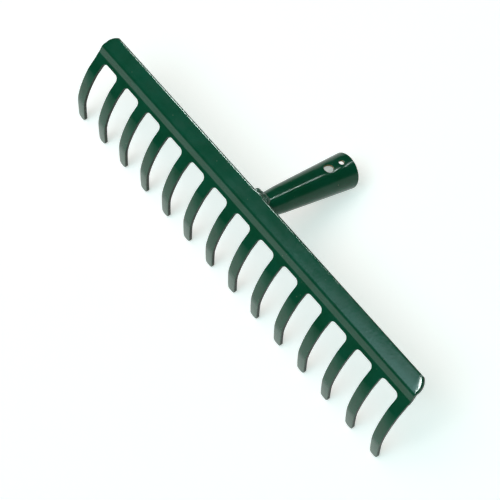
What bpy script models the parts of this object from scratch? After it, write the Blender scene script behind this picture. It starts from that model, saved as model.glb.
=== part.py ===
"""Level garden rake head: one pressed steel head with curved tines, a tapered handle socket, and its weld.

The head lies on a table on its tine ends and on the lower rim of the socket's mouth.
X runs along the head, Y from the tines towards the handle, Z up. The origin is under the middle of the
object, on the table.
"""
import math

import bmesh
import bpy
from mathutils import Vector

MM = 0.001

# Pressed head
TINE_COUNT = 14
TINE_PITCH = 28.0 * MM
SHEET = 2.8 * MM
HALF_LENGTH = 187.0 * MM
TINE_HALF_WIDTH = 4.75 * MM
TIP_HALF_WIDTH = 3.8 * MM
TIP_CORNER_RADIUS = 2.4 * MM
GAP_CORNER_RADIUS = 4.1 * MM
END_STEP = 1.5 * MM
FLANGE_CORNER_RADIUS = 12.3 * MM
FLANGE_CORNER_START = 1.5 * MM

# Side view of the head's outer face from the tine ends up: length, lower slope, upper slope, divisions.
# Slopes are in degrees from the table.
TINE_END = (19.2 * MM, 79.0, 74.7, 3)
TINE_HEEL = (6.7 * MM, 74.7, 62.8, 3)
TINE_CURVE = (27.6 * MM, 62.8, 41.4, 7)
ROOT_WEB = (13.2 * MM, 34.5, 34.5, 2)
ROOT_BAND = (2.9 * MM, 34.5, 34.5, 1)
RISER = (5.2 * MM, 50.7, 50.7, 1)
FLANGE_BEND = (3.0 * MM, 50.7, 16.2, 4)
FLANGE = (11.8 * MM, 16.2, 9.2, 3)
SECTIONS = (TINE_END, TINE_HEEL, TINE_CURVE, ROOT_WEB, ROOT_BAND, RISER, FLANGE_BEND, FLANGE)
TINE_LENGTH = TINE_END[0] + TINE_HEEL[0] + TINE_CURVE[0]
GAP_ROOT = TINE_LENGTH + ROOT_WEB[0]
FLANGE_START = GAP_ROOT + ROOT_BAND[0] + RISER[0] + FLANGE_BEND[0]
DEVELOPED_LENGTH = FLANGE_START + FLANGE[0]
CORNER_DIVISIONS = 4
FLANGE_CORNER_DIVISIONS = 8
SAME_STATION = 0.05 * MM
ROUNDING = 0.01 * MM

# Handle socket: distances are from the mouth, along the axis, towards the head
SOCKET_TILT = math.radians(28.9)
MOUTH_RADIUS = 14.55 * MM
SOCKET_WALL = 1.5 * MM
TAPER = 0.0580
TAPER_END = 66.0 * MM
NECK_TAPER = 0.105
SOCKET_LENGTH = 98.0 * MM
MOUTH_Y = 123.7 * MM
SOCKET_SIDES = 56
BOLT_HOLE_RADIUS = 3.9 * MM
BOLT_HOLE_FROM_MOUTH = 21.8 * MM
NAIL_HOLE_RADIUS = 2.1 * MM
NAIL_HOLE_FROM_MOUTH = 9.3 * MM

# Weld fillet round the neck of the socket
WELD_START = 79.0 * MM
WELD_FULL = 86.0 * MM
WELD_EDGE = 0.5 * MM
WELD_HEIGHT = 2.3 * MM

FIT_GAP = 0.3 * MM
CLEARANCE_HALF_WIDTH = 30.0 * MM
CLEARANCE_REACH = 40.0 * MM
WELD_TRIM_DEPTH = 20.0 * MM

DEPTH = MOUTH_Y + MOUTH_RADIUS * math.sin(SOCKET_TILT)
DRILL_SIDES = 24
SHARP_ANGLE = math.radians(35.0)
PAINT_GREEN = (0.008, 0.072, 0.036, 1.0)
PAINT_ROUGHNESS = 0.25


def clear_scene():
    for item in list(bpy.data.objects):
        bpy.data.objects.remove(item, do_unlink=True)


def paint(name, color):
    material = bpy.data.materials.new(name)
    material.use_nodes = True
    shader = material.node_tree.nodes["Principled BSDF"]
    shader.inputs["Base Color"].default_value = color
    shader.inputs["Roughness"].default_value = PAINT_ROUGHNESS
    shader.inputs["Metallic"].default_value = 0.0
    return material


def add_empty(name, location, rotation=(0.0, 0.0, 0.0), parent=None):
    empty = bpy.data.objects.new(name, None)
    empty.location = location
    empty.rotation_euler = rotation
    empty.parent = parent
    bpy.context.scene.collection.objects.link(empty)
    return empty


def add_mesh(name, bm, parent, material=None):
    mesh = bpy.data.meshes.new(name)
    bm.to_mesh(mesh)
    bm.free()
    if material:
        mesh.materials.append(material)
    body = bpy.data.objects.new(name, mesh)
    body.parent = parent
    bpy.context.scene.collection.objects.link(body)
    return body


def make_cutter(body):
    body.hide_render = True
    body.display_type = "WIRE"
    return body


def cut(body, cutter):
    modifier = body.modifiers.new("cut_" + cutter.name, "BOOLEAN")
    modifier.operation = "DIFFERENCE"
    modifier.solver = "EXACT"
    modifier.object = cutter


# --- Side view of the head -------------------------------------------------------------------

def outer_point(distance):
    """Point (y, z) of the outer face at a developed distance from the tine end, and its two slopes."""
    y = 0.0
    z = SHEET * math.cos(math.radians(TINE_END[1]))
    slope = math.radians(TINE_END[1])
    for length, start_deg, end_deg, _ in SECTIONS:
        start = math.radians(start_deg)
        part = min(distance, length)
        if part <= 1e-9:
            return y, z, slope, start
        turn = (math.radians(end_deg) - start) / length
        slope = start + turn * part
        if abs(turn) < 1e-9:
            y += part * math.cos(start)
            z += part * math.sin(start)
        else:
            y += (math.sin(slope) - math.sin(start)) / turn
            z -= (math.cos(slope) - math.cos(start)) / turn
        distance -= part
        if distance < -1e-9 or part < length - 1e-9:
            return y, z, slope, slope
    return y, z, slope, slope


def inner_point(distance, depth):
    """Point (y, z) under the outer face, mitred where the sheet is creased."""
    y, z, before, after = outer_point(distance)
    slope = (before + after) / 2
    reach = depth / math.cos((before - after) / 2)
    return y + reach * math.sin(slope), z - reach * math.cos(slope)


def section_distances():
    distances = [0.0]
    start = 0.0
    for length, _, _, divisions in SECTIONS:
        distances += [start + length * (step + 1) / divisions for step in range(divisions)]
        start += length
    return distances


def corner_steps(start, radius, rising):
    """Developed distances that divide a quarter-round corner evenly by angle."""
    steps = []
    for step in range(CORNER_DIVISIONS + 1):
        angle = math.pi / 2 * step / CORNER_DIVISIONS
        part = 1 - math.cos(angle) if rising else math.sin(angle)
        steps.append(start + radius * part)
    return steps


def merged(distances):
    """Sorted distances without near repeats."""
    kept = []
    for distance in sorted(distances):
        if not kept or distance - kept[-1] > SAME_STATION:
            kept.append(distance)
    return kept


def tine_distances():
    """Stations from the tine end up to, but not on, the line of the gap roots."""
    tip = corner_steps(0.0, TIP_CORNER_RADIUS, True)
    root = corner_steps(GAP_ROOT - GAP_CORNER_RADIUS, GAP_CORNER_RADIUS, False)
    body = [value for value in section_distances() if TIP_CORNER_RADIUS < value < GAP_ROOT - GAP_CORNER_RADIUS]
    return [value for value in merged(tip + root + body) if value < GAP_ROOT - ROUNDING]


def band_distances():
    """Stations from the line of the gap roots up to the flange's far edge."""
    plain = [value for value in section_distances() if GAP_ROOT - ROUNDING < value < DEVELOPED_LENGTH]
    start = FLANGE_START + FLANGE_CORNER_START
    part = (DEVELOPED_LENGTH - start) / FLANGE_CORNER_DIVISIONS
    corner = [start + part * step for step in range(FLANGE_CORNER_DIVISIONS + 1)]
    return merged(plain + corner)


def round_in(radius, distance):
    """How far a quarter-round corner has closed at a distance from its straight side's end."""
    part = min(max(radius - distance, 0.0), radius)
    return radius - math.sqrt(radius * radius - part * part)


def half_width(distance):
    share = min(distance / TINE_LENGTH, 1.0)
    width = TIP_HALF_WIDTH + (TINE_HALF_WIDTH - TIP_HALF_WIDTH) * share
    width -= round_in(TIP_CORNER_RADIUS, distance)
    return width


def tine_sides(index, distance):
    """Left and right X of one tine at a developed distance."""
    centre = (index - (TINE_COUNT - 1) / 2) * TINE_PITCH
    width = half_width(distance)
    flare = width + round_in(GAP_CORNER_RADIUS, GAP_ROOT - distance)
    edge = width
    if distance > GAP_ROOT - END_STEP:
        step = (distance - GAP_ROOT + END_STEP) / END_STEP
        edge = width + (HALF_LENGTH - abs(centre) - width) * min(step, 1.0)
    left = edge if index == 0 else flare
    right = edge if index == TINE_COUNT - 1 else flare
    return centre - left, centre + right


def end_inset(distance):
    """How far the flange's rounded corner draws the head's end in."""
    part = max(distance - FLANGE_START - FLANGE_CORNER_START, 0.0)
    return FLANGE_CORNER_RADIUS - math.sqrt(FLANGE_CORNER_RADIUS ** 2 - part ** 2)


# --- Bodies ----------------------------------------------------------------------------------

def profile_pair(bm, distance, x):
    """Outer and inner vertex at one X."""
    y, z, _, _ = outer_point(distance)
    inner_y, inner_z = inner_point(distance, SHEET)
    return bm.verts.new((x, y, z)), bm.verts.new((x, inner_y, inner_z))


def bridge(bm, lower, upper):
    """Quads of both faces between two pairs on each of two rows, lower left and right, upper left and right."""
    (low_left, low_right), (up_left, up_right) = lower, upper
    bm.faces.new((low_left[0], low_right[0], up_right[0], up_left[0]))
    bm.faces.new((low_left[1], up_left[1], up_right[1], low_right[1]))


def wall(bm, first, second):
    """Quad of sheet edge between two neighbouring pairs."""
    bm.faces.new((first[0], second[0], second[1], first[1]))


def build_tine(bm, index, root_pair):
    rows = []
    for distance in tine_distances():
        left, right = tine_sides(index, distance)
        rows.append((profile_pair(bm, distance, left), profile_pair(bm, distance, right)))
    rows.append(root_pair)
    for lower, upper in zip(rows, rows[1:]):
        bridge(bm, lower, upper)
        wall(bm, upper[0], lower[0])
        wall(bm, lower[1], upper[1])
    wall(bm, rows[0][0], rows[0][1])


def build_head(parent, material):
    bm = bmesh.new()
    columns = []
    for index in range(TINE_COUNT):
        columns += tine_sides(index, GAP_ROOT)
    rows = []
    for distance in band_distances():
        inset = end_inset(distance)
        places = [columns[0] + inset] + columns[1:-1] + [columns[-1] - inset]
        rows.append([profile_pair(bm, distance, x) for x in places])
    for lower, upper in zip(rows, rows[1:]):
        for left in range(len(columns) - 1):
            bridge(bm, lower[left:left + 2], upper[left:left + 2])
        wall(bm, upper[0], lower[0])
        wall(bm, lower[-1], upper[-1])
    for left in range(len(columns) - 1):
        wall(bm, rows[-1][left + 1], rows[-1][left])
    for index in range(TINE_COUNT):
        build_tine(bm, index, (rows[0][2 * index], rows[0][2 * index + 1]))
    for index in range(TINE_COUNT - 1):
        wall(bm, rows[0][2 * index + 1], rows[0][2 * index + 2])
    bmesh.ops.recalc_face_normals(bm, faces=bm.faces)
    return add_mesh("pressed_head", bm, parent, material)


def socket_radius(distance):
    neck = max(distance - TAPER_END, 0.0)
    return MOUTH_RADIUS - TAPER * min(distance, TAPER_END) - NECK_TAPER * neck


def turned(bm, outline, sides):
    """Closed ring turned round local Z from an outline of (radius, z) points."""
    rings = []
    for radius, z in outline:
        ring = []
        for side in range(sides):
            angle = 2 * math.pi * side / sides
            ring.append(bm.verts.new((radius * math.cos(angle), radius * math.sin(angle), z)))
        rings.append(ring)
    for first, second in zip(rings, rings[1:] + rings[:1]):
        for side in range(sides):
            following = (side + 1) % sides
            bm.faces.new((first[side], first[following], second[following], second[side]))
    bmesh.ops.recalc_face_normals(bm, faces=bm.faces)


def build_socket(parent, material):
    stations = (0.0, TAPER_END, SOCKET_LENGTH)
    outside = [(socket_radius(value), -value) for value in stations]
    inside = [(socket_radius(value) - SOCKET_WALL, -value) for value in reversed(stations)]
    bm = bmesh.new()
    turned(bm, outside + inside, SOCKET_SIDES)
    socket = add_mesh("handle_socket", bm, parent, material)
    socket.data.shade_smooth()
    socket.data.set_sharp_from_angle(angle=SHARP_ANGLE)
    return socket


def build_weld(parent, material):
    """Fillet ring round the neck, thin where it runs out on the socket and full against the head."""
    stations = (WELD_START, WELD_FULL, SOCKET_LENGTH)
    heights = (WELD_EDGE, WELD_HEIGHT, WELD_HEIGHT)
    outside = [(socket_radius(value) + FIT_GAP + height, -value) for value, height in zip(stations, heights)]
    inside = [(socket_radius(value) + FIT_GAP, -value) for value in reversed(stations)]
    bm = bmesh.new()
    turned(bm, outside + inside, SOCKET_SIDES)
    weld = add_mesh("weld_fillet", bm, parent, material)
    weld.data.shade_smooth()
    weld.data.set_sharp_from_angle(angle=SHARP_ANGLE)
    return weld


def build_drill(name, radius, from_mouth, parent):
    """Cutter through the socket's upper wall only, square to the axis."""
    bm = bmesh.new()
    depth = 2 * MOUTH_RADIUS
    bmesh.ops.create_cone(bm, cap_ends=True, segments=DRILL_SIDES, radius1=radius, radius2=radius, depth=depth)
    drill = make_cutter(add_mesh(name, bm, parent))
    drill.location = (0.0, -depth / 2, -from_mouth)
    drill.rotation_euler = (math.pi / 2, 0.0, 0.0)
    return drill


def build_bar_cutter(name, outline, parent):
    """Cutter of one side view outline of (y, z) points, carried along X."""
    bm = bmesh.new()
    ends = []
    for x in (-CLEARANCE_HALF_WIDTH, CLEARANCE_HALF_WIDTH):
        ends.append([bm.verts.new((x, y, z)) for y, z in outline])
    bm.faces.new(ends[0])
    bm.faces.new(reversed(ends[1]))
    count = len(outline)
    for index in range(count):
        following = (index + 1) % count
        bm.faces.new((ends[0][index], ends[1][index], ends[1][following], ends[0][following]))
    bmesh.ops.recalc_face_normals(bm, faces=bm.faces)
    return make_cutter(add_mesh(name, bm, parent))


def build_head_clearance(parent):
    """Cutter that holds everything in front of the head's back face, with the fit gap."""
    depth = SHEET + FIT_GAP
    outline = [inner_point(distance, depth) for distance in section_distances()]
    last_y, last_z, slope, _ = outer_point(DEVELOPED_LENGTH)
    lower_edge = Vector(inner_point(DEVELOPED_LENGTH, depth))
    along = Vector((math.cos(slope), math.sin(slope))) * FIT_GAP
    outline[-1] = tuple(lower_edge + along)
    outline.append((last_y + along.x, last_z + CLEARANCE_REACH))
    outline.append((-CLEARANCE_REACH, last_z + CLEARANCE_REACH))
    outline.append((-CLEARANCE_REACH, outline[0][1]))
    return build_bar_cutter("head_clearance", outline, parent)


def build_weld_trim(parent):
    """Cutter that keeps the weld behind the line of the gap roots, out of the gap between the tines."""
    y, z, slope, _ = outer_point(GAP_ROOT)
    along = Vector((math.cos(slope), math.sin(slope)))
    inward = Vector((math.sin(slope), -math.cos(slope)))
    front = Vector((y, z)) + along * FIT_GAP
    back = front + inward * WELD_TRIM_DEPTH
    below = along * -CLEARANCE_REACH
    outline = [tuple(point) for point in (front, back, back + below, front + below)]
    return build_bar_cutter("weld_trim", outline, parent)


def main():
    clear_scene()
    rake = add_empty("rake_frame", (0.0, -DEPTH / 2, 0.0))
    mouth = (0.0, MOUTH_Y, MOUTH_RADIUS * math.cos(SOCKET_TILT))
    axis = add_empty("socket_axis", mouth, (-math.pi / 2 - SOCKET_TILT, 0.0, 0.0), rake)

    build_head(rake, paint("head_paint", PAINT_GREEN))
    socket = build_socket(axis, paint("socket_paint", PAINT_GREEN))
    weld = build_weld(axis, paint("weld_paint", PAINT_GREEN))

    clearance = build_head_clearance(rake)
    cut(socket, clearance)
    cut(weld, clearance)
    cut(weld, build_weld_trim(rake))
    cut(socket, build_drill("bolt_hole", BOLT_HOLE_RADIUS, BOLT_HOLE_FROM_MOUTH, axis))
    cut(socket, build_drill("nail_hole", NAIL_HOLE_RADIUS, NAIL_HOLE_FROM_MOUTH, axis))


main()
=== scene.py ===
"""Looks of a level garden rake head in a studio: painted pressed head, handle socket and weld bead."""
import math

import bpy
import numpy as np
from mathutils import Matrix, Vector
from mathutils.geometry import delaunay_2d_cdt


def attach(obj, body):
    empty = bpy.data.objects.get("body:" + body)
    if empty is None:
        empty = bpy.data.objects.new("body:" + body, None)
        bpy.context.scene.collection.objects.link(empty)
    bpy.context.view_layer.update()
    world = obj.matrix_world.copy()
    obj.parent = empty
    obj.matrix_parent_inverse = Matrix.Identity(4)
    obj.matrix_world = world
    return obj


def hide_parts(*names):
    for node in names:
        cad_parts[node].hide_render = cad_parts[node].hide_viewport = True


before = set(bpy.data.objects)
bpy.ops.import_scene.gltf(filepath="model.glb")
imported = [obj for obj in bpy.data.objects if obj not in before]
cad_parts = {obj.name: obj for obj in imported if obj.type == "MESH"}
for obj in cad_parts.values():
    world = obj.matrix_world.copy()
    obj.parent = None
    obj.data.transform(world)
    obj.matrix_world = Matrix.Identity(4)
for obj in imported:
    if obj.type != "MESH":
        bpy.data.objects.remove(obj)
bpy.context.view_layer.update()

MM = 0.001

# --- The part's driving dimensions, in metres ---
TINE_COUNT = 14
TINE_PITCH = 28.0 * MM
SHEET = 2.8 * MM
HALF_LENGTH = 187.0 * MM
TINE_HALF_WIDTH = 4.75 * MM
TIP_HALF_WIDTH = 3.8 * MM
TIP_CORNER_RADIUS = 2.4 * MM
GAP_CORNER_RADIUS = 4.1 * MM
END_STEP = 1.5 * MM
FLANGE_CORNER_RADIUS = 12.3 * MM
FLANGE_CORNER_START = 1.5 * MM
# Side view of the head's outer face, from the tine ends up: length, lower slope, upper slope.
TINE_END = (19.2 * MM, 79.0, 74.7)
TINE_HEEL = (6.7 * MM, 74.7, 62.8)
TINE_CURVE = (27.6 * MM, 62.8, 41.4)
ROOT_WEB = (13.2 * MM, 34.5, 34.5)
ROOT_BAND = (2.9 * MM, 34.5, 34.5)
RISER = (5.2 * MM, 50.7, 50.7)
FLANGE_BEND = (3.0 * MM, 50.7, 16.2)
FLANGE = (11.8 * MM, 16.2, 9.2)
SECTIONS = (TINE_END, TINE_HEEL, TINE_CURVE, ROOT_WEB, ROOT_BAND, RISER, FLANGE_BEND, FLANGE)
TINE_LENGTH = TINE_END[0] + TINE_HEEL[0] + TINE_CURVE[0]
GAP_ROOT = TINE_LENGTH + ROOT_WEB[0]
FLANGE_START = GAP_ROOT + ROOT_BAND[0] + RISER[0] + FLANGE_BEND[0]
DEVELOPED_LENGTH = FLANGE_START + FLANGE[0]

SOCKET_TILT = math.radians(28.9)
MOUTH_RADIUS = 14.55 * MM
SOCKET_WALL = 1.5 * MM
TAPER = 0.0580
TAPER_END = 66.0 * MM
NECK_TAPER = 0.105
MOUTH_Y = 123.7 * MM
BOLT_HOLE = (3.9 * MM, 21.8 * MM)
NAIL_HOLE = (2.1 * MM, 9.3 * MM)
HALF_DEPTH = (MOUTH_Y + MOUTH_RADIUS * math.sin(SOCKET_TILT)) / 2

# The socket's mouth, and its own directions: from mouth to neck, up out of its top, and across.
MOUTH = np.array((0.0, MOUTH_Y - HALF_DEPTH, MOUTH_RADIUS * math.cos(SOCKET_TILT)))
AXIS = np.array((0.0, -math.cos(SOCKET_TILT), math.sin(SOCKET_TILT)))
TOP = np.array((0.0, math.sin(SOCKET_TILT), math.cos(SOCKET_TILT)))
ACROSS = np.array((1.0, 0.0, 0.0))

# --- Rounding and unevenness of the head's surface ---
CREASE = 0.9 * MM
TINE_EDGE_RADIUS = 0.3 * MM
FLANGE_EDGE_RADIUS = 1.6 * MM
BACK_EDGE_RADIUS = 0.4 * MM
TINE_DOME = 0.30 * MM
DOME_END = TINE_LENGTH + 3 * MM
DOME_FADE = 9 * MM
STREAK_HEIGHT = 0.011 * MM
STREAK_LENGTH = 1.15 * MM
SWELL_HEIGHT = 0.010 * MM
FLANGE_FADE = 2 * MM
END_DROOP = 0.75 * MM
END_DROOP_REACH = 5.5 * MM
TINE_WANDER = 0.25 * MM
TINE_SHORTENING = 0.075 * MM
# Swelling of the flange's far edge over the weld, in millimetres.
BULGE_HEIGHT = 0.9
BULGE_CENTRE = -3.5
BULGE_WIDTH = 3.6
BULGE_SPAN = range(14, -22, -1)

# --- Fineness of the meshes ---
SIDE_STEP = 0.05 * MM
OUTLINE_STEP = 0.9 * MM
FILL_STEP = 1.9 * MM
ROW_STEP = 1.1 * MM
EDGE_STEPS = 5
ARC_STEPS = 9
TIP_STEPS = 8
FLANGE_CORNER_STEPS = 14
TINE_SIDE_POINTS = 9
TINE_SIDE_SHARES = (0.1, 0.7)
HOLE_POINTS = 40
SOCKET_END_POINTS = 121
# Degrees of bend from one row of points to the next, and the share of a step kept clear of the outline.
ROW_TURN = 2.5
EDGE_CLEARANCE = 0.3
# Slopes in degrees, outline points in metres and fill points in millimetres this close count as one.
SAME_SLOPE = 0.01
SAME_POINT = 0.02 * MM
FILL_TOLERANCE = 1e-5
# Small step to either side, from which a surface's slope is taken.
PROBE = 0.05 * MM
# Material numbers of a sheet: its front with half of the rounded edge, the other half, and its back.
FRONT, EDGE, BACK = 0, 1, 2
# How far up a tine its end is worn.
TIP_WEAR_REACH = 6 * MM


# --- Side view of the head ---

def creased_sections():
    """The sections with a short arc put in wherever two neighbours meet at an angle."""
    made = []
    for index, (length, start, end) in enumerate(SECTIONS):
        before = index > 0 and abs(SECTIONS[index - 1][2] - start) > SAME_SLOPE
        after = index + 1 < len(SECTIONS) and abs(SECTIONS[index + 1][1] - end) > SAME_SLOPE
        if before:
            made.append((CREASE, SECTIONS[index - 1][2], start))
        made.append((length - (before + after) * CREASE / 2, start, end))
    return made


def side_table():
    """Developed distance, y, z and slope of the outer face, in fine steps."""
    rows = [(0.0, -HALF_DEPTH, SHEET * math.cos(math.radians(TINE_END[1])), math.radians(TINE_END[1]))]
    for length, start, end in creased_sections():
        count = max(int(round(length / SIDE_STEP)), 1)
        for index in range(count):
            slope = math.radians(start + (end - start) * (index + 0.5) / count)
            reached = math.radians(start + (end - start) * (index + 1) / count)
            distance, y, z, _ = rows[-1]
            part = length / count
            rows.append((distance + part, y + part * math.cos(slope), z + part * math.sin(slope), reached))
    return np.array(rows)


SIDE = side_table()


def side(distance):
    """Y, z and slope of the outer face at a developed distance, straight on past both ends."""
    distance = np.asarray(distance, float)
    inside = np.clip(distance, 0.0, SIDE[-1, 0])
    y, z, slope = (np.interp(inside, SIDE[:, 0], SIDE[:, column]) for column in (1, 2, 3))
    beyond = distance - inside
    return y + beyond * np.cos(slope), z + beyond * np.sin(slope), slope


def wave(place, length, phase=0.0):
    """Sine of a place. Its period is 2 pi times length."""
    return np.sin(place / length + phase)


def ripple(x, distance):
    """Height of the pressed sheet's unevenness: streaks, swells, domed tines and drooping flange ends."""
    flange = np.clip((distance - FLANGE_START) / FLANGE_FADE, 0, 1)
    strength = wave(x, 37 * MM, 1.3) + 0.6 * wave(x, 16 * MM, 4.0) + 1.2
    streaks = wave(distance, STREAK_LENGTH, 0.7 * wave(x, 45 * MM))
    height = flange * STREAK_HEIGHT * strength * streaks
    height += SWELL_HEIGHT * wave(x, 9.1 * MM, distance / (7 * MM)) * wave(distance, 6.3 * MM, 2.0)
    from_centre = ((x / TINE_PITCH + TINE_COUNT / 2) % 1 - 0.5) * TINE_PITCH
    share = np.clip(np.abs(from_centre) / TINE_HALF_WIDTH, 0, 1.1)
    height -= TINE_DOME * share ** 2 * np.clip((DOME_END - distance) / DOME_FADE, 0, 1)
    from_end = HALF_LENGTH - np.abs(x) - flange_inset(distance)
    drop = np.clip(1 - from_end / END_DROOP_REACH, 0, 1.2)
    return height - flange * END_DROOP * drop ** 2


def flange_inset(distance):
    """How far the flange's rounded corner lies in from the head's end, short of where the arc turns level."""
    part = np.clip(distance - FLANGE_START - FLANGE_CORNER_START, 0.0, 0.98 * FLANGE_CORNER_RADIUS)
    return FLANGE_CORNER_RADIUS - np.sqrt(FLANGE_CORNER_RADIUS ** 2 - part ** 2)


def on_head(plane, depth, lean):
    """Places and normals on the head. lean holds each normal's part across, along and out of the sheet."""
    x, distance = plane[:, 0], plane[:, 1]
    y, z, slope = side(distance)
    sunk = depth - ripple(x, distance)
    place = np.stack([x, y + sunk * np.sin(slope), z - sunk * np.cos(slope)], 1)
    rise_x = (ripple(x + PROBE, distance) - ripple(x - PROBE, distance)) / (2 * PROBE)
    rise_s = (ripple(x, distance + PROBE) - ripple(x, distance - PROBE)) / (2 * PROBE)
    out = lean[:, 2]
    along = lean[:, 1] - out * rise_s
    normal = np.stack([lean[:, 0] - out * rise_x,
                       along * np.cos(slope) - out * np.sin(slope),
                       along * np.sin(slope) + out * np.cos(slope)], 1)
    return place, normal


# --- Sheets: a flat outline with holes, filled, given thickness and rounded edges, and then bent ---

def arc(centre, radius, start, end, steps):
    """Points of an arc between two angles in degrees."""
    angles = np.radians(np.linspace(start, end, steps + 1))
    return [(centre[0] + radius * math.cos(a), centre[1] + radius * math.sin(a)) for a in angles]


def resampled(points, step):
    """The same open line with no stretch longer than step."""
    made = [points[0]]
    for first, second in zip(points, points[1:]):
        gap = math.dist(first, second)
        count = max(int(math.ceil(gap / step)), 1)
        for index in range(1, count + 1):
            share = index / count
            made.append(tuple(a + (b - a) * share for a, b in zip(first, second)))
    return made


def closed_loop(points, step):
    """The same points as a closed loop, with no long stretch and no doubled point."""
    line = np.array(resampled(points + [points[0]], step)[:-1])
    far = np.linalg.norm(line - np.roll(line, 1, axis=0), axis=1) > SAME_POINT
    return line[far]


def inward(loop):
    """Unit normals towards the material, which is on the left of the loop."""
    ahead = np.roll(loop, -1, axis=0) - loop
    behind = loop - np.roll(loop, 1, axis=0)
    ahead /= np.linalg.norm(ahead, axis=1)[:, None]
    behind /= np.linalg.norm(behind, axis=1)[:, None]
    way = ahead + behind
    way /= np.linalg.norm(way, axis=1)[:, None]
    return np.stack([-way[:, 1], way[:, 0]], 1)


def inside_loops(points, loops):
    """Even-odd test of points against all loops together."""
    found = np.zeros(len(points), bool)
    for loop in loops:
        x1, y1 = loop[:, 0], loop[:, 1]
        x2, y2 = np.roll(x1, -1), np.roll(y1, -1)
        for a, b, c, d in zip(x1, y1, x2, y2):
            if b != d:
                spans = (b > points[:, 1]) != (d > points[:, 1])
                crossing = a + (points[:, 1] - b) * (c - a) / (d - b)
                found ^= spans & (points[:, 0] < crossing)
    return found


def row_points(loops, rows, step):
    """Points on level rows inside the loops, with the pairs that follow one another in a row."""
    edge = np.concatenate(loops)
    low, high = edge[:, 0].min(), edge[:, 0].max()
    places, pairs = [], []
    columns = np.arange(low + step / 2, high, step)
    for row in rows:
        level = np.stack([columns, np.full(len(columns), row)], 1)
        keep = inside_loops(level, loops)
        near = edge[np.abs(edge[:, 1] - row) < step]
        if len(near):
            gap = np.linalg.norm(level[:, None, :] - near[None], axis=2).min(1)
            keep &= gap > EDGE_CLEARANCE * step
        last = None
        for index in np.flatnonzero(keep):
            places.append(tuple(level[index]))
            if last == index - 1:
                pairs.append((len(places) - 2, len(places) - 1))
            last = index
    return places, pairs


def filled(loops, rows, step):
    """Triangles inside the loops. The loops' own points come first, in order."""
    extra, pairs = row_points(loops, rows, step)
    points = [tuple(p) for loop in loops for p in loop] + extra
    edges, first = [], 0
    for loop in loops:
        edges += [(first + index, first + (index + 1) % len(loop)) for index in range(len(loop))]
        first += len(loop)
    edges += [(first + a, first + b) for a, b in pairs]
    scale = 1 / MM
    flat = [Vector((x * scale, y * scale)) for x, y in points]
    _, _, faces, origins, _, _ = delaunay_2d_cdt(flat, edges, [], 0, FILL_TOLERANCE)
    source = [found[0] if found else -1 for found in origins]
    triangles = np.array([[source[v] for v in face] for face in faces if len(face) == 3])
    triangles = triangles[(triangles >= 0).all(1)]
    points = np.array(points)
    centres = points[triangles].mean(1)
    triangles = triangles[inside_loops(centres, loops)]
    a, b, c = (points[triangles[:, k]] for k in range(3))
    turn = (b[:, 0] - a[:, 0]) * (c[:, 1] - a[:, 1]) - (b[:, 1] - a[:, 1]) * (c[:, 0] - a[:, 0])
    triangles[turn < 0] = triangles[turn < 0][:, ::-1]
    return points, triangles


def edge_rings(front, back, thickness):
    """Rings of the sheet's rounded edge, from front to back: inset, depth, and angle of the normal."""
    rings = []
    for index in range(EDGE_STEPS + 1):
        angle = math.pi / 2 * index / EDGE_STEPS
        rings.append((front * (1 - math.sin(angle)), front * (1 - math.cos(angle)), angle))
    for index in range(EDGE_STEPS + 1):
        angle = math.pi / 2 * (1 + index / EDGE_STEPS)
        rings.append((back * (1 - math.sin(angle)), thickness - back * (1 + math.cos(angle)), angle))
    return rings


def sheet_mesh(name, loops, radii, rows, step, thickness, back_radius, bend, attributes):
    """One closed sheet: the rounded edge of every loop, and then its front and its back face, filled.

    radii holds the front edge radius at each loop's points. attributes holds rules that give a value to
    each flat point. The attribute edge is 0 on the two faces and 1 in the middle of the edge.
    """
    places, leans, wall = [], [], []
    faces, tags = [], []
    starts = []
    for loop, front in zip(loops, radii):
        first = sum(len(p) for p in places)
        starts.append(first)
        normal = inward(loop)
        rings = edge_rings(front, back_radius, thickness)
        count = len(loop)
        for inset, depth, angle in rings:
            inset = np.broadcast_to(inset, (count,))
            depth = np.broadcast_to(depth, (count,))
            plane = loop + normal * inset[:, None]
            lean = np.concatenate([-normal * math.sin(angle), np.full((count, 1), math.cos(angle))], 1)
            places.append(np.column_stack([plane, depth]))
            leans.append(lean)
            wall.append(np.full(count, math.sin(angle)))
        for ring in range(len(rings) - 1):
            for index in range(count):
                following = (index + 1) % count
                a, b = first + ring * count, first + (ring + 1) * count
                faces.append((a + following, a + index, b + index, b + following))
                tags.append(FRONT if ring < EDGE_STEPS else EDGE)
    last_ring = 2 * EDGE_STEPS + 1
    for ring, upward in ((0, True), (last_ring, False)):
        numbers = [start + ring * len(loop) + np.arange(len(loop)) for loop, start in zip(loops, starts)]
        stacked = np.concatenate(places)
        points, triangles = filled([stacked[block][:, :2] for block in numbers], rows, step)
        known = np.concatenate(numbers)
        extra = points[len(known):]
        base = len(stacked)
        number = np.concatenate([known, np.arange(base, base + len(extra))])
        depth = 0.0 if upward else thickness
        places.append(np.column_stack([extra, np.full(len(extra), depth)]))
        leans.append(np.tile([0.0, 0.0, 1.0 if upward else -1.0], (len(extra), 1)))
        wall.append(np.zeros(len(extra)))
        for triangle in number[triangles]:
            faces.append(tuple(triangle if upward else triangle[::-1]))
            tags.append(FRONT if upward else BACK)
    stacked = np.concatenate(places)
    lean = np.concatenate(leans)
    spots, normal = bend(stacked[:, :2], stacked[:, 2], lean)
    values = {"edge": np.concatenate(wall)}
    for key, rule in attributes.items():
        values[key] = rule(stacked)
    return smooth_object(name, spots, faces, normal, values, tags)


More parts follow.
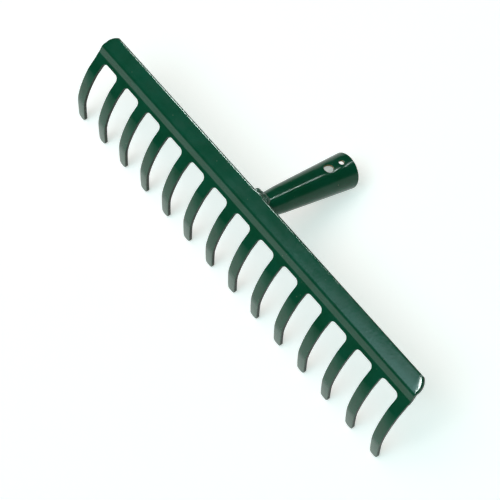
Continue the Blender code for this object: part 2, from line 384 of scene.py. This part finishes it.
def smooth_object(name, spots, faces, normal=None, values=None, tags=None):
    """A smooth-shaded object, with its own normals, point attributes and material numbers where given."""
    mesh = bpy.data.meshes.new(name)
    mesh.from_pydata([tuple(p) for p in spots], [], [tuple(int(i) for i in f) for f in faces])
    mesh.update()
    mesh.shade_smooth()
    for key, value in (values or {}).items():
        layer = mesh.attributes.new(key, "FLOAT", "POINT")
        layer.data.foreach_set("value", np.asarray(value, np.float32))
    if tags is not None:
        mesh.polygons.foreach_set("material_index", np.asarray(tags, np.int32))
    if normal is not None:
        length = np.linalg.norm(normal, axis=1)[:, None]
        mesh.normals_split_custom_set_from_vertices([tuple(n) for n in normal / length])
    body = bpy.data.objects.new(name, mesh)
    bpy.context.scene.collection.objects.link(body)
    return body


# --- Pressed head ---

def tine_half_width(distance):
    """Half of a tine's width, which grows from its end to its root."""
    share = min(distance / TINE_LENGTH, 1.0)
    return TIP_HALF_WIDTH + (TINE_HALF_WIDTH - TIP_HALF_WIDTH) * share


def tine_outline(index):
    """Left side down, round the end and up the right side of one tine, with the rounded gap roots."""
    centre = (index - (TINE_COUNT - 1) / 2) * TINE_PITCH
    wander = TINE_WANDER * math.sin(2.1 * index + 0.4)
    low, high = TINE_SIDE_SHARES

    def at(side_sign, distance):
        """Point on the tine's left (-1) or right (1) side. Towards its end the tine leans by its wander."""
        share = 1 - distance / GAP_ROOT
        return centre + wander * share ** 2 + side_sign * tine_half_width(distance), distance

    corner = TIP_CORNER_RADIUS
    tip = corner + TINE_SHORTENING * index
    flare = GAP_ROOT - GAP_CORNER_RADIUS
    points = []
    if index == 0:
        points.append((-HALF_LENGTH, GAP_ROOT))
        points.append(at(-1, GAP_ROOT - END_STEP))
    else:
        left = at(-1, flare)
        points += arc((left[0] - GAP_CORNER_RADIUS, flare), GAP_CORNER_RADIUS, 90, 0, ARC_STEPS)
    points += [at(-1, GAP_ROOT * share) for share in np.linspace(high, low, TINE_SIDE_POINTS)]
    left, right = at(-1, tip), at(1, tip)
    points += arc((left[0] + corner, tip), corner, 180, 270, TIP_STEPS)
    points += arc((right[0] - corner, tip), corner, 270, 360, TIP_STEPS)
    points += [at(1, GAP_ROOT * share) for share in np.linspace(low, high, TINE_SIDE_POINTS)]
    if index == TINE_COUNT - 1:
        points.append(at(1, GAP_ROOT - END_STEP))
        points.append((HALF_LENGTH, GAP_ROOT))
    else:
        right = at(1, flare)
        points += arc((right[0] + GAP_CORNER_RADIUS, flare), GAP_CORNER_RADIUS, 180, 90, ARC_STEPS)
    return points


def head_outline():
    """The flat blank: all tines from left to right, then back along the flange's far edge."""
    points = []
    for index in range(TINE_COUNT):
        points += tine_outline(index)
    corner = FLANGE_START + FLANGE_CORNER_START
    reach = math.degrees(math.asin((DEVELOPED_LENGTH - corner) / FLANGE_CORNER_RADIUS))
    centre = HALF_LENGTH - FLANGE_CORNER_RADIUS
    points += arc((centre, corner), FLANGE_CORNER_RADIUS, 0, reach, FLANGE_CORNER_STEPS)
    for x in BULGE_SPAN:
        share = math.exp(-((x - BULGE_CENTRE) / BULGE_WIDTH) ** 2)
        points.append((x * MM, DEVELOPED_LENGTH + BULGE_HEIGHT * MM * share))
    points += arc((-centre, corner), FLANGE_CORNER_RADIUS, 180 - reach, 180, FLANGE_CORNER_STEPS)
    return closed_loop(points, OUTLINE_STEP)


def build_head():
    """The head's sheet. Its edge is nearly sharp on the tines and well rounded on the flange."""
    loop = head_outline()
    share = np.clip((loop[:, 1] - GAP_ROOT) / (FLANGE_START - GAP_ROOT), 0, 1)
    radius = TINE_EDGE_RADIUS + (FLANGE_EDGE_RADIUS - TINE_EDGE_RADIUS) * share ** 2
    rows = []
    start = 0.0
    for length, low, high in creased_sections():
        count = max(int(math.ceil(length / ROW_STEP)), int(abs(high - low) / ROW_TURN), 1)
        rows += [start + length * index / count for index in range(count)]
        start += length

    def tip(flat):
        return np.clip(1 - flat[:, 1] / TIP_WEAR_REACH, 0, 1)

    return sheet_mesh("rake_head", [loop], [radius], rows, FILL_STEP, SHEET, BACK_EDGE_RADIUS, on_head,
                      {"tip": tip})


# --- Handle socket: a rolled sheet with its seam underneath ---

ROLL_RADIUS = 12.0 * MM
SEAM_GAP = 0.12 * MM
SOCKET_FILL_STEP = 1.1 * MM
MOUTH_EDGE_RADIUS = 0.45 * MM
BOLT_EDGE_RADIUS = 0.35 * MM
NAIL_EDGE_RADIUS = 0.3 * MM
SOCKET_BACK_RADIUS = 0.3 * MM
HOLLOWS = ((BOLT_HOLE, 0.34 * MM), (NAIL_HOLE, 0.30 * MM))
HOLLOW_MARGIN = 2.6 * MM
HOLLOW_FALL = 1.4
RUST_REACH = 0.5 * MM
# The distances from the mouth between which the tube meets the head's back, and the gap left there.
NECK_RANGE = (70 * MM, 99 * MM)
NECK_STEP = 0.05 * MM
NECK_GAP = 0.1 * MM
LAST_ROW = 98 * MM


def socket_radius(distance):
    """Outer radius of the tube at a distance from its mouth. The neck tapers faster."""
    body = TAPER * np.minimum(distance, TAPER_END)
    neck = NECK_TAPER * np.maximum(distance - TAPER_END, 0)
    return MOUTH_RADIUS - body - neck


def pressed_in(roll, distance):
    """Shallow hollows pressed round the two holes."""
    depth = np.zeros_like(distance)
    for (radius, place), hollow in HOLLOWS:
        gap = np.hypot(roll, distance - place) / (radius + HOLLOW_MARGIN)
        depth = depth + hollow * np.exp(-HOLLOW_FALL * gap ** 3)
    return depth


def on_socket(plane, depth, lean):
    """Places and normals on the rolled tube. lean holds each normal's part round, along and out of it."""
    roll, distance = plane[:, 0], plane[:, 1]

    def placed(r, d):
        angle = r / ROLL_RADIUS
        out = np.cos(angle)[:, None] * TOP - np.sin(angle)[:, None] * ACROSS
        radius = socket_radius(d) - depth - pressed_in(r, d)
        return MOUTH + AXIS * d[:, None] + out * radius[:, None], out

    place, outward = placed(roll, distance)
    around = placed(roll + PROBE, distance)[0] - placed(roll - PROBE, distance)[0]
    along = placed(roll, distance + PROBE)[0] - placed(roll, distance - PROBE)[0]
    around /= np.linalg.norm(around, axis=1)[:, None]
    along /= np.linalg.norm(along, axis=1)[:, None]
    up = np.cross(along, around)
    up *= np.sign((up * outward).sum(1))[:, None]
    normal = lean[:, :1] * around + lean[:, 1:2] * along + lean[:, 2:] * up
    return place, normal


def back_line():
    """Side view of the head's back face, carried on up over the flange's far edge."""
    y, z, slope = side(np.linspace(0, DEVELOPED_LENGTH, 400))
    back = np.stack([y + SHEET * np.sin(slope), z - SHEET * np.cos(slope)], 1)
    return np.vstack([back, [y[-1], z[-1]], [y[-1], z[-1] + 20 * MM]])


BACK_LINE = back_line()


def socket_end(angle):
    """Distance from the mouth at which the tube's outside meets the head's back, at an angle from its top."""
    distance = np.arange(*NECK_RANGE, NECK_STEP)
    out = math.sin(angle) * ACROSS + math.cos(angle) * TOP
    points = MOUTH + AXIS * distance[:, None] + out * socket_radius(distance)[:, None]
    order = np.argsort(BACK_LINE[:, 1], kind="stable")
    limit = np.interp(points[:, 2], BACK_LINE[order, 1], BACK_LINE[order, 0])
    met = points[:, 1] < limit + NECK_GAP
    return float(distance[np.argmax(met)])


def hole_loop(hole):
    """Drilled hole on the unrolled tube, with the material outside it."""
    radius, place = hole
    tube = float(socket_radius(place))
    angles = np.linspace(0, 2 * math.pi, HOLE_POINTS + 1)[:-1]
    return np.array([(ROLL_RADIUS * math.asin(radius * math.cos(a) / tube), place - radius * math.sin(a))
                     for a in angles])


def build_socket():
    """The socket's sheet: a straight mouth, two holes, and an end cut to fit the head's back."""
    edge = math.pi * ROLL_RADIUS - SEAM_GAP
    angles = np.linspace(edge, -edge, SOCKET_END_POINTS) / ROLL_RADIUS
    outline = [(-edge, 0.0), (edge, 0.0)] + [(a * ROLL_RADIUS, socket_end(a)) for a in angles]
    loops = [closed_loop(outline, OUTLINE_STEP), hole_loop(BOLT_HOLE), hole_loop(NAIL_HOLE)]
    edge_radii = (MOUTH_EDGE_RADIUS, BOLT_EDGE_RADIUS, NAIL_EDGE_RADIUS)
    radii = [np.full(len(loop), radius) for loop, radius in zip(loops, edge_radii)]
    rows = np.arange(ROW_STEP, LAST_ROW, ROW_STEP)

    def rust(flat):
        near = [np.hypot(flat[:, 0], flat[:, 1] - place) - radius
                for radius, place in (BOLT_HOLE, NAIL_HOLE)]
        return np.clip(1 - np.minimum(*near) / RUST_REACH, 0, 1)

    return sheet_mesh("socket_tube", loops, radii, rows, SOCKET_FILL_STEP, SOCKET_WALL, SOCKET_BACK_RADIUS,
                      on_socket, {"rust": rust})


# --- Weld bead round the neck ---

WELD_TURNS = 220
WELD_SIDES = 22
WELD_RIPPLES = 19
# Size of the bead in millimetres: all round, what is added on the left, and unevenness.
WELD_HEIGHT, WELD_LEFT_HEIGHT, WELD_HEIGHT_RIPPLE = 1.3, 1.9, 0.08
WELD_REACH, WELD_LEFT_REACH, WELD_REACH_RIPPLE = 1.9, 2.4, 0.20
# Shares by which the bead is lower and narrower underneath, and the share of its reach it lies back by.
WELD_LOWER, WELD_NARROWER = 0.45, 0.55
WELD_SETBACK = 0.55
WELD_DROP = 1.6 * MM
WELD_SINK = 0.1 * MM
WELD_UNROUND = 0.05
# Up on the left the bead climbs onto the flange's far edge: middle and width of that stretch, in radians.
SHOULDER_ANGLE = -0.75
SHOULDER_WIDTH = 0.55
SHOULDER_REACH = 9.2 * MM
SHOULDER_SHIFT = 1.2 * MM
SHOULDER_Y = float(side(DEVELOPED_LENGTH)[0]) + 0.7 * MM
SHOULDER_Z = float(side(DEVELOPED_LENGTH)[1]) - 3.9 * MM


def weld_size(angle, below):
    """Height and reach of the bead at an angle from the socket's top. It is fullest on the left."""
    left = 0.5 - 0.5 * math.sin(angle)
    beads = math.sin(angle * WELD_RIPPLES + 0.8 * math.sin(3 * angle))
    height = WELD_HEIGHT + WELD_LEFT_HEIGHT * left ** 2
    height += WELD_HEIGHT_RIPPLE * (beads + math.sin(5 * angle + 2))
    reach = WELD_REACH + WELD_LEFT_REACH * math.sqrt(left) * (1 - 0.5 * left ** 4)
    reach += WELD_REACH_RIPPLE * (beads + math.sin(4 * angle + 1))
    return height * MM * (1 - WELD_LOWER * below), reach * MM * (1 - WELD_NARROWER * below)


def build_weld():
    """A closed ring round the neck, thinner below, in the corner between the socket and the head."""
    spots, faces = [], []
    for turn in range(WELD_TURNS):
        angle = 2 * math.pi * turn / WELD_TURNS
        out = math.sin(angle) * ACROSS + math.cos(angle) * TOP
        below = max(0.0, -math.cos(angle)) ** 1.5
        height, reach = weld_size(angle, below)
        distance = socket_end(angle) - (WELD_SETBACK * reach + WELD_DROP * below)
        middle = MOUTH + AXIS * distance + out * (float(socket_radius(distance)) - WELD_SINK)
        turned = (angle + math.pi) % (2 * math.pi) - math.pi
        pull = math.exp(-((turned - SHOULDER_ANGLE) / SHOULDER_WIDTH) ** 2)
        shoulder_x = SHOULDER_REACH * math.sin(angle) - SHOULDER_SHIFT * pull
        middle = middle * (1 - pull) + np.array((shoulder_x, SHOULDER_Y, SHOULDER_Z)) * pull
        for step in range(WELD_SIDES):
            around = 2 * math.pi * step / WELD_SIDES
            sag = 1 + WELD_UNROUND * math.sin(4 * around + 7 * angle)
            spots.append(middle + (math.cos(around) * height * out - math.sin(around) * reach * AXIS) * sag)
    for turn in range(WELD_TURNS):
        here, following = turn * WELD_SIDES, (turn + 1) % WELD_TURNS * WELD_SIDES
        for step in range(WELD_SIDES):
            ahead = (step + 1) % WELD_SIDES
            faces.append((here + step, here + ahead, following + ahead, following + step))
    return smooth_object("weld_bead", spots, faces)


# --- Materials ---

DEEP_GREEN = (0.0035, 0.060, 0.026, 1.0)
LIGHT_GREEN = (0.0050, 0.071, 0.036, 1.0)
DUST = (0.15, 0.17, 0.11, 1.0)
THIN_PAINT = (0.060, 0.050, 0.030, 1.0)
RUST = (0.32, 0.18, 0.07, 1.0)
# Dark green of the sheet's side faces: painted shade, darker than the enamel itself.
SHADED_EDGE_GREEN = (0.003, 0.020, 0.010, 1.0)
EDGE_BROWN = (0.040, 0.034, 0.022, 1.0)
WORN_TIP = (0.085, 0.078, 0.055, 1.0)
# Steel inside the tube: bare steel with a near-white tone that is partly painted reflection of the pale
# floor.
PALE_STEEL_PAINTED_REFLECTION = (0.90, 0.90, 0.88, 1.0)
WHITE_STEEL_PAINTED_REFLECTION = (0.98, 0.98, 0.97, 1.0)
WELD_GREEN = (0.0045, 0.065, 0.031, 1.0)
WELD_BROWN = (0.035, 0.030, 0.016, 1.0)


class Nodes:
    """Short calls for a node tree."""

    def __init__(self, tree):
        self.tree = tree

    def add(self, kind, values=None, **settings):
        node = self.tree.nodes.new(kind)
        for key, value in settings.items():
            setattr(node, key, value)
        for key, value in (values or {}).items():
            if isinstance(value, bpy.types.NodeSocket):
                self.tree.links.new(value, node.inputs[key])
            else:
                node.inputs[key].default_value = value
        return node

    def noise(self, where, scale, detail=2.0, rough=0.5):
        values = {"Vector": where, "Scale": scale, "Detail": detail, "Roughness": rough}
        return self.add("ShaderNodeTexNoise", values).outputs["Fac"]

    def span(self, value, low, high, to_low=0.0, to_high=1.0):
        values = {"Value": value, "From Min": low, "From Max": high, "To Min": to_low, "To Max": to_high}
        return self.add("ShaderNodeMapRange", values).outputs["Result"]

    def times(self, first, second):
        return self.add("ShaderNodeMath", {0: first, 1: second}, operation="MULTIPLY").outputs[0]

    def dot(self, first, second):
        node = self.add("ShaderNodeVectorMath", {0: first, 1: second}, operation="DOT_PRODUCT")
        return node.outputs["Value"]

    def mix(self, share, first, second):
        node = self.add("ShaderNodeMix", data_type="RGBA")
        for index, value in ((0, share), (6, first), (7, second)):
            if isinstance(value, bpy.types.NodeSocket):
                self.tree.links.new(value, node.inputs[index])
            else:
                node.inputs[index].default_value = value
        return node.outputs[2]


def new_material(name):
    """A new material, calls for its node tree, and its Principled shader."""
    material = bpy.data.materials.new(name)
    material.use_nodes = True
    nodes = Nodes(material.node_tree)
    shader = material.node_tree.nodes["Principled BSDF"]
    return material, nodes, shader


def painted(name, rust_key=None, peel=0.10, wear=0.55, specular=0.5):
    """Glossy green enamel with orange peel, dust specks, and thin brownish paint on cut edges."""
    material, nodes, shader = new_material(name)
    where = nodes.add("ShaderNodeTexCoord").outputs["Object"]
    cloud = nodes.noise(where, 60.0, 4.0)
    color = nodes.mix(nodes.span(cloud, 0.35, 0.65), DEEP_GREEN, LIGHT_GREEN)
    specks = nodes.add("ShaderNodeTexVoronoi", {"Vector": where, "Scale": 210.0}).outputs["Distance"]
    dust = nodes.span(specks, 0.13, 0.06)
    chosen = nodes.span(nodes.noise(where, 95.0, 1.0), 0.59, 0.63)
    color = nodes.mix(nodes.times(nodes.times(dust, chosen), 0.50), color, DUST)
    edge = nodes.add("ShaderNodeAttribute", attribute_name="edge").outputs["Fac"]
    patch = nodes.span(nodes.noise(where, 380.0, 3.0), 0.40, 0.62)
    thin = nodes.times(nodes.times(nodes.span(edge, 0.55, 1.0), patch), wear)
    color = nodes.mix(thin, color, THIN_PAINT)
    if rust_key:
        near = nodes.add("ShaderNodeAttribute", attribute_name=rust_key).outputs["Fac"]
        ring = nodes.times(nodes.span(edge, 0.75, 1.0), nodes.span(near, 0.2, 0.7))
        color = nodes.mix(ring, color, RUST)
    nodes.tree.links.new(color, shader.inputs["Base Color"])
    gloss = nodes.span(nodes.noise(where, 150.0, 3.0), 0.3, 0.7, 0.13, 0.21)
    nodes.tree.links.new(gloss, shader.inputs["Roughness"])
    shader.inputs["Specular IOR Level"].default_value = specular
    wide = nodes.noise(where, 520.0, 2.0)
    fine = nodes.noise(where, 1900.0, 1.0)
    height = nodes.add("ShaderNodeMath", {0: wide, 1: nodes.times(fine, 0.35)}, operation="ADD").outputs[0]
    bump = nodes.add("ShaderNodeBump", {"Strength": peel, "Distance": 0.0004, "Height": height})
    nodes.tree.links.new(bump.outputs["Normal"], shader.inputs["Normal"])
    return material


def cut_edge():
    """Sheared edge of the sheet: thin, dull enamel with brown steel showing through, over a dark green that
    is painted shade on the sheet's side faces.
    """
    material, nodes, shader = new_material("edge_enamel")
    where = nodes.add("ShaderNodeTexCoord").outputs["Object"]
    tip = nodes.add("ShaderNodeAttribute", attribute_name="tip").outputs["Fac"]
    brown = nodes.span(nodes.noise(where, 420.0, 3.0, 0.6), 0.42, 0.60)
    # Painted shade: dark green base on the side faces, mixed with real brown steel patches.
    color = nodes.mix(brown, SHADED_EDGE_GREEN, EDGE_BROWN)
    color = nodes.mix(nodes.times(tip, 0.8), color, WORN_TIP)
    nodes.tree.links.new(color, shader.inputs["Base Color"])
    shader.inputs["Roughness"].default_value = 0.45
    shader.inputs["Specular IOR Level"].default_value = 0.2
    bump = nodes.add("ShaderNodeBump", {"Strength": 0.3, "Distance": 0.0003, "Height": brown})
    nodes.tree.links.new(bump.outputs["Normal"], shader.inputs["Normal"])
    return material


def bare_steel_painted_reflection():
    """Bright zinc-plated steel inside the tube, drawn lengthwise. Its near-white tone is partly painted
    reflection of the pale floor seen through the mouth and holes.
    """
    material, nodes, shader = new_material("bare_steel_painted_reflection")
    where = nodes.add("ShaderNodeTexCoord").outputs["Object"]
    stretched = nodes.add("ShaderNodeMapping", {"Vector": where, "Scale": (1.0, 0.15, 0.3)}).outputs[0]
    grain = nodes.noise(stretched, 900.0, 4.0)
    color = nodes.mix(grain, PALE_STEEL_PAINTED_REFLECTION, WHITE_STEEL_PAINTED_REFLECTION)
    nodes.tree.links.new(color, shader.inputs["Base Color"])
    nodes.tree.links.new(nodes.span(grain, 0.3, 0.7, 0.30, 0.42), shader.inputs["Roughness"])
    shader.inputs["Metallic"].default_value = 0.35
    bump = nodes.add("ShaderNodeBump", {"Strength": 0.15, "Distance": 0.0002, "Height": grain})
    nodes.tree.links.new(bump.outputs["Normal"], shader.inputs["Normal"])
    return material


def weld_paint():
    """The same enamel over a rough bead, with scorched brown in scattered patches."""
    material, nodes, shader = new_material("weld_enamel")
    where = nodes.add("ShaderNodeTexCoord").outputs["Object"]
    patches = nodes.span(nodes.noise(where, 260.0, 4.0, 0.6), 0.50, 0.68)
    color = nodes.mix(nodes.times(patches, 0.45), WELD_GREEN, WELD_BROWN)
    nodes.tree.links.new(color, shader.inputs["Base Color"])
    shader.inputs["Roughness"].default_value = 0.30
    height = nodes.noise(where, 800.0, 4.0, 0.6)
    bump = nodes.add("ShaderNodeBump", {"Strength": 0.14, "Distance": 0.0004, "Height": height})
    nodes.tree.links.new(bump.outputs["Normal"], shader.inputs["Normal"])
    return material


# --- Studio ---

FLOOR_REACH = 6.0
FLOOR_GAP = 0.2 * MM
FLOOR_COLOR = (0.80, 0.66, 0.66, 1.0)
FLOOR_GLOW_COLOR = (0.96, 1.0, 0.98, 1.0)
FLOOR_GLOW = 0.60
PALE_WALL = (0.70, 0.98, 0.90, 1.0)
DARK_WALL = (0.005, 0.015, 0.015, 1.0)
TEAL_CEILING = (0.01, 0.30, 0.22, 1.0)
OVERHEAD_GLOW = (2.1, 3.5, 3.7, 1.0)
GLOW_TOWARD = (0.0, -0.42, 0.907)
BEHIND = (0.35, 0.94, 0.0)
# Where each of them begins and is full: heights of the direction for the walls' tops and the ceiling,
# and cosines of the angle to BEHIND for the pale walls and to GLOW_TOWARD for the glow.
WALL_TOP_FADE = (0.29, 0.0)
WALL_SIDE_FADE = (0.30, -0.20)
CEILING_FADE = (0.50, 0.80)
GLOW_FADE = (0.917, 0.955)
# Each lamp: place in metres, size in metres, power in watts, tint. It points at the origin.
FILL_LAMP = ("overhead_fill", (-0.77, -0.11, 2.05), (1.6, 1.6), 16.0, (1.0, 0.62, 0.60))
HIGHLIGHT_LAMPS = (
    ("back_lamp", (-0.016, 1.39, 1.10), (0.045, 0.50), 6.5, (0.85, 1.0, 0.98)),
    ("side_lamp", (-0.87, 0.75, 1.358), (0.32, 0.42), 24.0, (0.85, 1.0, 0.95)),
    ("end_lamp", (0.28, -0.30, 1.891), (0.40, 0.75), 38.0, (0.9, 1.0, 0.97)),
)
CAMERA_PLACE = (0.57396, -0.21663, 1.27150)
CAMERA_TURN = (23.795, 9.277, 52.359)
CAMERA_LENS = 134.86
SENSOR_WIDTH = 36.0


def build_floor():
    """Pale paper just below the rake. It glows a little, so that it stays nearly white."""
    mesh = bpy.data.meshes.new("floor")
    reach = FLOOR_REACH
    corners = [(-reach, -reach, 0.0), (reach, -reach, 0.0), (reach, reach, 0.0), (-reach, reach, 0.0)]
    mesh.from_pydata(corners, [], [(0, 1, 2, 3)])
    floor = bpy.data.objects.new("floor", mesh)
    bpy.context.scene.collection.objects.link(floor)
    floor.location.z = -FLOOR_GAP
    material, _, shader = new_material("floor_paper")
    shader.inputs["Base Color"].default_value = FLOOR_COLOR
    shader.inputs["Emission Color"].default_value = FLOOR_GLOW_COLOR
    shader.inputs["Emission Strength"].default_value = FLOOR_GLOW
    shader.inputs["Roughness"].default_value = 0.9
    shader.inputs["Specular IOR Level"].default_value = 0.0
    mesh.materials.append(material)


def build_world():
    """Low pale walls in front, dark walls behind, a dim teal ceiling, and a soft glow overhead in front."""
    world = bpy.data.worlds.new("studio")
    bpy.context.scene.world = world
    world.use_nodes = True
    nodes = Nodes(world.node_tree)
    background = world.node_tree.nodes["Background"]
    way = nodes.add("ShaderNodeTexCoord").outputs["Generated"]
    height = nodes.add("ShaderNodeSeparateXYZ", {0: way}).outputs["Z"]
    behind = nodes.dot(way, BEHIND)
    wall = nodes.times(nodes.span(height, *WALL_TOP_FADE), nodes.span(behind, *WALL_SIDE_FADE))
    ceiling = nodes.mix(nodes.span(height, *CEILING_FADE), DARK_WALL, TEAL_CEILING)
    glow = nodes.span(nodes.dot(way, Vector(GLOW_TOWARD).normalized()), *GLOW_FADE)
    color = nodes.mix(wall, ceiling, PALE_WALL)
    color = nodes.mix(glow, color, OVERHEAD_GLOW)
    nodes.tree.links.new(color, background.inputs["Color"])
    background.inputs["Strength"].default_value = 1.0


def area_light(name, place, size, power, tint, glossy, diffuse):
    """A rectangular lamp that points at the origin and isn't seen itself."""
    data = bpy.data.lights.new(name, "AREA")
    data.shape = "RECTANGLE"
    data.size, data.size_y = size
    data.energy = power
    data.color = tint
    light = bpy.data.objects.new(name, data)
    light.location = place
    light.rotation_euler = Vector(place).to_track_quat("Z", "Y").to_euler()
    light.visible_glossy = glossy
    light.visible_diffuse = diffuse
    light.visible_camera = False
    bpy.context.scene.collection.objects.link(light)


def build_lights():
    """One broad fill that gives no highlight, and three softboxes that give only highlights."""
    area_light(*FILL_LAMP, glossy=False, diffuse=True)
    for lamp in HIGHLIGHT_LAMPS:
        area_light(*lamp, glossy=True, diffuse=False)


def build_camera():
    data = bpy.data.cameras.new("camera")
    data.sensor_width = SENSOR_WIDTH
    data.lens = CAMERA_LENS
    camera = bpy.data.objects.new("camera", data)
    camera.location = CAMERA_PLACE
    camera.rotation_euler = tuple(math.radians(a) for a in CAMERA_TURN)
    bpy.context.scene.collection.objects.link(camera)
    bpy.context.scene.camera = camera


def give(piece, node, materials):
    """Put materials on a piece, and let it stand for a CAD node on the one body."""
    for material in materials:
        piece.data.materials.append(material)
    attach(piece, "root")
    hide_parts(node)


def main():
    build_camera()
    build_world()
    build_lights()
    build_floor()
    head_paint = painted("head_enamel")
    socket_paint = painted("socket_enamel", rust_key="rust", peel=0.035, wear=0.4, specular=0.22)
    give(build_head(), "pressed_head", [head_paint, cut_edge(), head_paint])
    give(build_socket(), "handle_socket", [socket_paint, socket_paint, bare_steel_painted_reflection()])
    give(build_weld(), "weld_fillet", [weld_paint()])
    bpy.context.scene.view_settings.view_transform = "Standard"


main()
